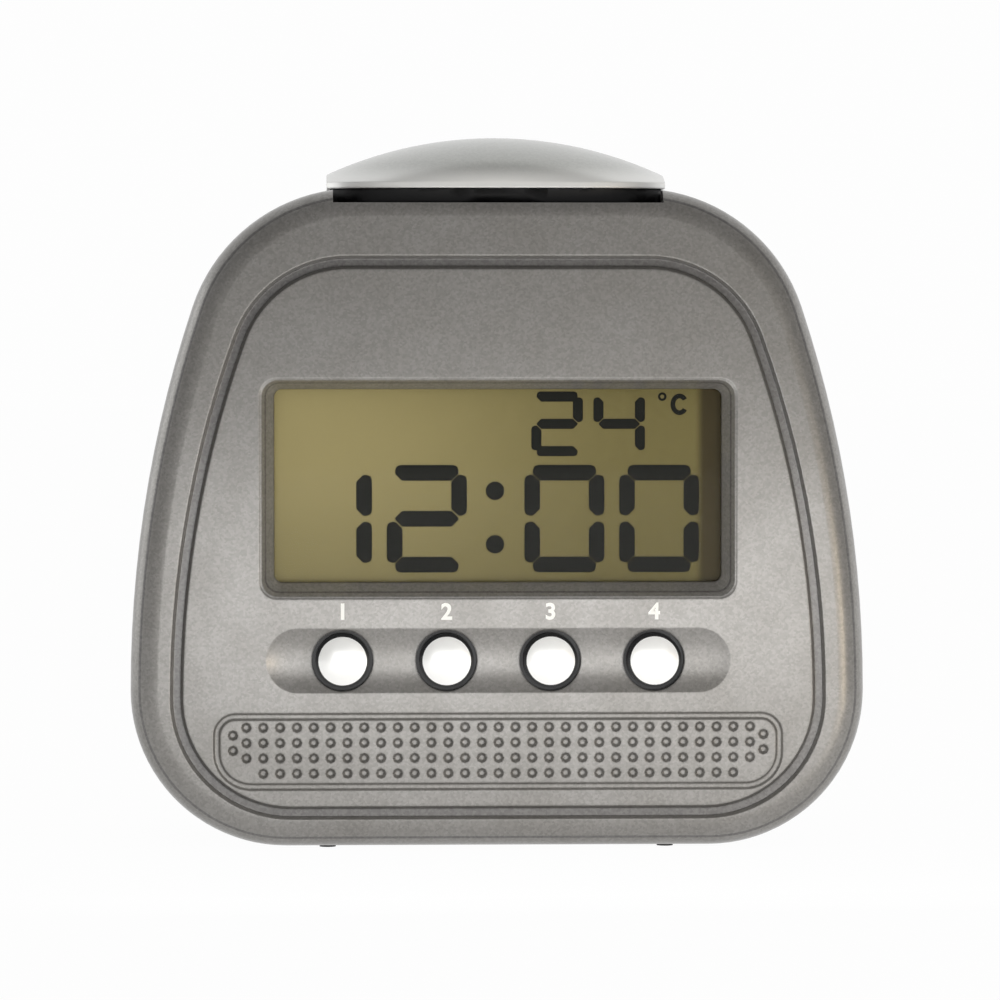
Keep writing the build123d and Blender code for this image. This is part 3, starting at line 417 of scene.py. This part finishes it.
def cut_corners(top_or_bottom, left_or_right, size, steps):
    """Cuts the corners of the plate in edit mode that lie on one side, straight or in steps."""
    shape = bmesh.from_edit_mesh(bpy.context.object.data)
    middle = sum((v.co for v in shape.verts), Vector()) / len(shape.verts)
    for vert in shape.verts:
        offset = vert.co - middle
        if top_or_bottom:
            vert.select_set(offset.z * top_or_bottom > 0)
        else:
            vert.select_set(offset.x * left_or_right > 0)
    shape.select_flush_mode()
    bmesh.update_edit_mesh(bpy.context.object.data)
    bpy.ops.mesh.bevel(offset=size, offset_type="OFFSET", affect="VERTICES", segments=steps)


def bar(left, right, low, high, outside, scale, middle=False):
    """One bar of a figure. outside is the side, as (x, z), where its corners are cut less, and a
    middle bar has no such side."""
    bpy.ops.object.select_all(action="DESELECT")
    centre = ((left + right) / 2, bar_plane, (low + high) / 2)
    bpy.ops.mesh.primitive_plane_add(size=1, location=centre, rotation=(pi / 2, 0, 0))
    bpy.context.object.scale = (right - left, high - low, 1)
    bpy.ops.object.transform_apply()
    bpy.ops.object.mode_set(mode="EDIT")
    bpy.ops.mesh.select_mode(type="VERT")
    x_side, z_side = outside
    cut, steps = (inner_cut, 1) if middle else (outer_cut, 2)
    cut_corners(z_side, x_side, cut * scale, steps)
    cut_corners(-z_side, -x_side, inner_cut * scale, 1)
    bpy.ops.object.mode_set(mode="OBJECT")
    bars.append(bpy.context.object)


def figure(left, top, width, height, lit):
    """Seven-bar figure. lit names its bars: t, m and b across, and l, r, L and R upright."""
    scale = width / time_width
    across = (left + 0.105 * width, left + 0.895 * width)
    thick = bar_width * scale
    rows = {"t": top - thick, "m": top - height / 2 - thick / 2, "b": top - height}
    for name, low in rows.items():
        if name in lit:
            outside = (0, -1 if name == "b" else 1)
            bar(*across, low, low + thick, outside, scale, name == "m")
    gap = 0.028 * height
    for name, side in (("l", 0), ("r", 1), ("L", 0), ("R", 1)):
        if name in lit:
            start = left + side * (width - thick)
            high = top - 0.092 * height if name.islower() else top - height / 2 - gap
            low = top - height / 2 + gap if name.islower() else top - 0.908 * height
            bar(start, start + thick, low, high, (1 if side else -1, 0), scale)


def round_mark(x, z, width, height, stroke, opening):
    """Round mark. A stroke leaves its middle out, and it can open at the right."""
    bpy.ops.object.select_all(action="DESELECT")
    bpy.ops.mesh.primitive_circle_add(
        vertices=32,
        radius=0.5,
        fill_type="NGON",
        location=(x, bar_plane, z),
        rotation=(pi / 2, 0, 0),
    )
    mark = bpy.context.object
    mark.scale = (width, height, 1)
    bpy.ops.object.transform_apply()
    if stroke:
        bpy.ops.object.mode_set(mode="EDIT")
        bpy.ops.mesh.select_mode(type="FACE")
        bpy.ops.mesh.select_all(action="SELECT")
        bpy.ops.mesh.inset(thickness=stroke)
        bpy.ops.mesh.delete(type="FACE")
        if opening:
            shape = bmesh.from_edit_mesh(mark.data)
            for face in shape.faces:
                spot = face.calc_center_median()
                face.select_set(spot.x - x > abs(spot.z - z) * opening)
            bmesh.update_edit_mesh(mark.data)
            bpy.ops.mesh.delete(type="FACE")
        bpy.ops.object.mode_set(mode="OBJECT")
    bars.append(mark)


figure(-0.02385, time_top, time_width, time_height, "rR")
figure(-0.01285, time_top, time_width, time_height, "trmLb")
figure(0.0031, time_top, time_width, time_height, "tlrLRb")
figure(0.0141, time_top, time_width, time_height, "tlrLRb")
figure(0.0039, degrees_top, degrees_width, degrees_height, "trmLb")
figure(0.0111, degrees_top, degrees_width, degrees_height, "lrmR")
round_mark(colon_x, 0.0416, colon_size, colon_size, 0, 0)
round_mark(colon_x, 0.0354, colon_size, colon_size, 0, 0)
round_mark(0.0191, 0.0525, 0.001, 0.001, 0.00027, 0)
round_mark(0.0211, 0.0516, 0.0021, 0.0025, 0.00055, 1.2)
figures = joined(bars, "display_figures")
bpy.ops.object.modifier_add(type="SOLIDIFY")
figures.modifiers[0].thickness = 0.00002
bpy.ops.object.modifier_apply(modifier=figures.modifiers[0].name)
# Liquid crystal, switched dark: a soft charcoal with a trace of green.
crystal_ink, tree, shader, place, colour = mottled(
    "liquid_crystal_dark", "#151612", "#1a1b16", 0.001, 0, (0.4, 0.5), 0.000001
)
shader.inputs["Specular IOR Level"].default_value = 0.1
figures.data.materials.append(crystal_ink)
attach(figures, "housing")

# Key numerals: plain white figures, pad printed on the panel above the keys.
numeral_foot = 0.0269
numeral_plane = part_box("front_case")[0].y - 0.00001
ink = stuff("white_ink_printed", "#eeede7", "#f6f5f0", 0.0004, 0, (0.4, 0.6), 0.000003)
for index, key in enumerate(keys):
    low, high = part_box(f"{key}_button")
    bpy.ops.object.select_all(action="DESELECT")
    bpy.ops.object.text_add(rotation=(pi / 2, 0, 0))
    text = bpy.context.object
    text.data.body = str(index + 1)
    text.data.align_x = "CENTER"
    text.data.size = 0.0026
    text.data.offset = 0.00008
    text.data.extrude = 0.00002
    bpy.ops.object.convert(target="MESH")
    numeral = bpy.context.object
    numeral.name = f"key_numeral_{index + 1}"
    numeral.location = ((low.x + high.x) / 2, numeral_plane, numeral_foot)
    bpy.ops.object.transform_apply()
    numeral.data.materials.append(ink)
    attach(numeral, "housing")

# Holder and connector: a white polystyrene frame backs the glass, and a rubber strip with carbon
# layers runs in its slot from the glass to the board. Its layers are 0.1 mm thick, drawn as 0.4.
coat(white_plastic, "lcd_holder")
layer = 0.0004
layered, tree, shader, place, colour = mottled(
    "silicone_rubber_layered", "#2a2a2c", "#343436", 0.001, 0, (0.6, 0.8), 0.00001
)
layers = add(
    tree, "ShaderNodeTexWave", {"bands_direction": "X"}, {"Scale": 1 / layer, "Vector": place}
).outputs["Fac"]
whole = add(tree, "ShaderNodeMix", two_colours, {0: layers, 6: colour, 7: "#c9b7a4"}).outputs[2]
tree.links.new(whole, shader.inputs["Base Color"])
coat(layered, "zebra_strip")

# Boards: glass cloth and epoxy, with a green lacquer over copper tracks. The tracks are raised a
# little and paler, 0.8 mm apart.
track_step = 0.0008
track_share = 0.1
lacquer, tree, shader, place, colour = mottled(
    "board_lacquer_green", "#1f5a2e", "#27683a", 0.003, 0, (0.25, 0.4), 0.000005
)
upright = add(
    tree, "ShaderNodeMapping", inputs={"Vector": place, "Rotation": (radians(90), 0, 0)}
).outputs[0]
tracks = add(
    tree,
    "ShaderNodeTexBrick",
    {"offset": 0.5, "squash": 1},
    {
        "Scale": track_share / track_step,
        "Mortar Size": 0.03,
        "Mortar Smooth": 0.2,
        "Brick Width": 0.7,
        "Row Height": track_share,
        "Vector": upright,
    },
).outputs["Fac"]
whole = add(tree, "ShaderNodeMix", two_colours, {0: tracks, 6: colour, 7: "#4d8a52"}).outputs[2]
tree.links.new(whole, shader.inputs["Base Color"])
coat(lacquer, "main_board", "talk_board")

# Parts on the main board: a drop of black epoxy over the chip, a clock crystal in its drawn can, a
# capacitor in a black sleeve, five surface resistors, and a sensor bead on tinned leads.
epoxy = stuff("epoxy_resin_cast", "#0c0c0c", "#151515", 0.003, 0, (0.2, 0.3), 0.00001)
coat(epoxy, "chip_cover")
can = stuff("aluminium_can_drawn", "#c6c7c8", "#d6d7d8", 0.001, 1, (0.25, 0.35), 0.000003)
coat(can, "crystal")


def two_part(name, axis, edge, near, far):
    """Material of a piece that turns to bare metal past a place on an axis."""
    made, tree, shader, place, colour = mottled(name, *near, 0.0008, 0, (0.3, 0.45), 0.000005)
    share = past(tree, place, axis, edge)
    whole = add(tree, "ShaderNodeMix", two_colours, {0: share, 6: colour, 7: far}).outputs[2]
    tree.links.new(whole, shader.inputs["Base Color"])
    tree.links.new(share, shader.inputs["Metallic"])
    return made


sleeve_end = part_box("capacitor")[1].y - 0.0003
bead_top = 0.0075
end_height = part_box("resistors")[1].z - 0.0004
sleeve = two_part("sleeve_and_aluminium_end", "Y", sleeve_end, ("#101214", "#1a1c1f"), "#cfd0d1")
bead = two_part("epoxy_bead_tinned_leads", "Z", bead_top, ("#151310", "#201d18"), "#c4c4c0")
chip = two_part("ceramic_glazed_plated_end", "Z", end_height, ("#161616", "#202020"), "#c9c9c4")
coat(sleeve, "capacitor")
coat(bead, "thermistor")
coat(chip, "resistors")

# Speaker: a pressed steel basket, zinc plated, with a domed paper cone glued to its rim and a
# nickel plated magnet cup in front. It is glued in its seat behind the slots.
zinc = stuff("zinc_plated_steel", "#b4b5b6", "#c9cacc", 0.0012, 1, (0.28, 0.42), 0.000004)
coat(zinc, "speaker_frame")
paper = stuff("paper_cone_pressed", "#1d1c1b", "#2b2a28", 0.0003, 0, (0.85, 0.95), 0.00003)
coat(paper, "speaker_cone")
nickel = stuff("nickel_plated_yoke", "#a19d94", "#b5b1a8", 0.002, 1, (0.2, 0.35), 0.000004)
coat(nickel, "speaker_magnet")

# Battery cells: two standard cells, each a steel can in a shrunk film jacket, plain dark green
# with a grey band at its button end. The can shows bare at both ends. The cells lie opposite ways.
band_start, button_end, flat_end = 0.015, 0.0226, -0.02
cell_low, cell_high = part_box("battery_cells")
cell_parting = (cell_low.z + cell_high.z) / 2
jacket, tree, shader, place, colour = mottled(
    "shrink_film_jacket", "#1d3a2c", "#234636", 0.004, 0, (0.22, 0.32), 0.000005
)
over, under = {"operation": "GREATER_THAN"}, {"operation": "LESS_THAN"}
parts = add(tree, "ShaderNodeSeparateXYZ", inputs={"Vector": place}).outputs
offset = add(
    tree, "ShaderNodeMath", {"operation": "SUBTRACT"}, {0: parts["Z"], 1: cell_parting}
).outputs[0]
way = add(tree, "ShaderNodeMath", {"operation": "SIGN"}, {0: offset}).outputs[0]
along = add(
    tree, "ShaderNodeMath", {"operation": "MULTIPLY"}, {0: parts["X"], 1: way}
).outputs[0]
band = add(tree, "ShaderNodeMath", over, {0: along, 1: band_start}).outputs[0]
button = add(tree, "ShaderNodeMath", over, {0: along, 1: button_end}).outputs[0]
flat = add(tree, "ShaderNodeMath", under, {0: along, 1: flat_end}).outputs[0]
bare = add(tree, "ShaderNodeMath", {"operation": "MAXIMUM"}, {0: button, 1: flat}).outputs[0]
printed = add(tree, "ShaderNodeMix", two_colours, {0: band, 6: colour, 7: "#a9aaa8"}).outputs[2]
whole = add(tree, "ShaderNodeMix", two_colours, {0: bare, 6: printed, 7: "#c3c3c2"}).outputs[2]
tree.links.new(whole, shader.inputs["Base Color"])
tree.links.new(bare, shader.inputs["Metallic"])
coat(jacket, "battery_cells")

# Contacts: nickel plated strips slid into the end walls of the bay, with two cone springs of
# round wire against the flat ends of the cells.
strip = stuff("nickel_plated_strip", "#b9b4a8", "#cbc6ba", 0.0015, 1, (0.22, 0.35), 0.000004)
coat(strip, "link_contact", "negative_contact", "positive_contact")
cone_wire, cone_turns = 0.0005, 3.5
cone_foot, cone_tip, cone_length = 0.0032, 0.0021, 0.0031
cell_y = (cell_low.y + cell_high.y) / 2
cell_radius = (cell_high.y - cell_low.y) / 2
foot_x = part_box("negative_contact")[0].x - cone_wire / 2
coils = []
for side, height in ((-1, cell_high.z - cell_radius), (1, cell_low.z + cell_radius)):
    centre = Vector((side * foot_x, cell_y, height))
    coils.append(
        wound_wire(centre, "X", cone_foot, cone_tip, -side * cone_length, cone_turns, cone_wire)
    )
cone_coils = joined(coils, "battery_spring_coils")
cone_coils.data.materials.append(spring_steel)
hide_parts("battery_springs")
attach(cone_coils, "housing")

# Leads: tinned copper strands in PVC sheath, soldered at both ends, red and black in each pair.
red, black, paler_black = "#9e1a14", "#141414", "#1e1e1e"


def lead_pair(name, axis, edge):
    """Sheath of a pair of leads, black before a place on an axis and red past it."""
    made, tree, shader, place, colour = mottled(
        name, black, paler_black, 0.0012, 0, (0.35, 0.45), 0.000005
    )
    share = past(tree, place, axis, edge)
    whole = add(tree, "ShaderNodeMix", two_colours, {0: share, 6: colour, 7: red}).outputs[2]
    tree.links.new(whole, shader.inputs["Base Color"])
    return made


coat(lead_pair("pvc_sheath_extruded_x", "X", 0), "speaker_wires", "talk_wires")
coat(lead_pair("pvc_sheath_extruded_z", "Z", 0.0254), "battery_wires")

# Screws and feet: zinc plated steel screws driven from behind, and four grey rubber pips pressed
# into blind holes in the underside.
coat(zinc, "case_screws", "board_screws", "talk_board_screws")
rubber = stuff("grey_rubber_moulded", "#3a3a3b", "#454546", 0.0005, 0, (0.75, 0.9), 0.00002)
coat(rubber, "front_feet", "rear_feet")

# Studio: a white table that runs on into a white backdrop, with a darker room in front and at the
# left. Two long soft lights lie low in front, a small warm one low at the right, and one large one
# stands at either side.
table_white, sky_white = 0.972, 0.985
bpy.ops.mesh.primitive_plane_add(size=6, location=(0, 0, 0))
floor = bpy.context.object
floor.name = "studio_floor"
table, tree, shader, place, colour = mottled(
    "white_table", "#ebebeb", "#efefef", 0.02, 0, (0.85, 0.95), 0.00001
)
seen = add(tree, "ShaderNodeLightPath").outputs
straight = add(
    tree,
    "ShaderNodeMath",
    {"operation": "MAXIMUM"},
    {0: seen["Is Camera Ray"], 1: seen["Is Glossy Ray"]},
).outputs[0]
share = add(
    tree, "ShaderNodeMapRange", inputs={"To Max": table_white, "Value": straight}
).outputs[0]
white = add(
    tree, "ShaderNodeEmission", inputs={"Color": (1, 1, 1, 1), "Strength": 1}
).outputs[0]
mixed = add(tree, "ShaderNodeMixShader", inputs={0: share, 1: shader.outputs[0], 2: white})
tree.links.new(mixed.outputs[0], tree.nodes["Material Output"].inputs["Surface"])
floor.data.materials.append(table)

world = bpy.data.worlds.new("studio")
bpy.context.scene.world = world
world.use_nodes = True
tree = world.node_tree
seen = add(tree, "ShaderNodeLightPath").outputs
direction = add(tree, "ShaderNodeTexCoord").outputs["Generated"]
ahead = add(tree, "ShaderNodeSeparateXYZ", inputs={"Vector": direction}).outputs
backdrop = add(
    tree,
    "ShaderNodeMapRange",
    eased,
    {"From Min": -0.25, "From Max": 0.3, "To Min": 0.25, "To Max": 1.0, "Value": ahead["Y"]},
).outputs[0]
room = add(
    tree,
    "ShaderNodeMapRange",
    inputs={
        "From Min": -0.8,
        "From Max": 0.8,
        "To Min": 0.22,
        "To Max": 0.68,
        "Value": ahead["X"],
    },
).outputs[0]
glossy = add(
    tree,
    "ShaderNodeMapRange",
    inputs={"Value": seen["Is Glossy Ray"], "To Min": room, "To Max": backdrop},
).outputs[0]
strength = add(
    tree,
    "ShaderNodeMapRange",
    inputs={"Value": seen["Is Camera Ray"], "To Min": glossy, "To Max": sky_white},
).outputs[0]
sky = tree.nodes["Background"]
sky.inputs["Color"].default_value = (1, 1, 1, 1)
tree.links.new(strength, sky.inputs["Strength"])


def softbox(name, place, aim, width, height, power, colour):
    """Soft light of a width and a height at a place, turned to a point."""
    light = bpy.data.lights.new(name, "AREA")
    light.shape = "RECTANGLE"
    light.size = width
    light.size_y = height
    light.energy = power
    light.color = linear(colour)[:3]
    lamp = bpy.data.objects.new(name, light)
    bpy.context.scene.collection.objects.link(lamp)
    lamp.location = place
    lamp.rotation_euler = (Vector(aim) - Vector(place)).to_track_quat("-Z", "Y").to_euler()
    lamp.visible_camera = False


softbox("low_strip", (0.006, -0.085, 0.027), (0.003, 0, 0.027), 0.1, 0.03, 0.0255, "#ffffff")
softbox("table_glow", (0.01, -0.07, 0.001), (0.005, -0.02, 0.05), 0.12, 0.03, 0.012, "#ffffff")
softbox("warm_low", (0.12, -0.165, 0.018), (0, -0.02, 0.02), 0.05, 0.03, 0.034, "#ffebcc")
softbox("left_side", (-0.3, 0.06, 0.1), (0, 0, 0.04), 0.2, 0.18, 0.14, "#ffffff")
softbox("right_side", (0.3, 0.08, 0.08), (0, 0, 0.04), 0.2, 0.14, 0.03, "#ffffff")

# Camera: a long lens almost straight in front, a little left of the middle and a little above it.
distance = 0.62
frame_width = 0.1155
side = radians(2.2)
up = radians(2.0)
aim = Vector((0.0002, -0.0192, 0.0406))
lens = bpy.data.cameras.new("camera")
camera = bpy.data.objects.new("camera", lens)
bpy.context.scene.collection.objects.link(camera)
way = Vector((-sin(side) * cos(up), -cos(side) * cos(up), sin(up)))
camera.location = aim + way * distance
camera.rotation_euler = (-way).to_track_quat("-Z", "Y").to_euler()
lens.sensor_width = 36
lens.lens = lens.sensor_width * distance / frame_width
bpy.context.scene.camera = camera
bpy.context.scene.view_settings.view_transform = "Standard"
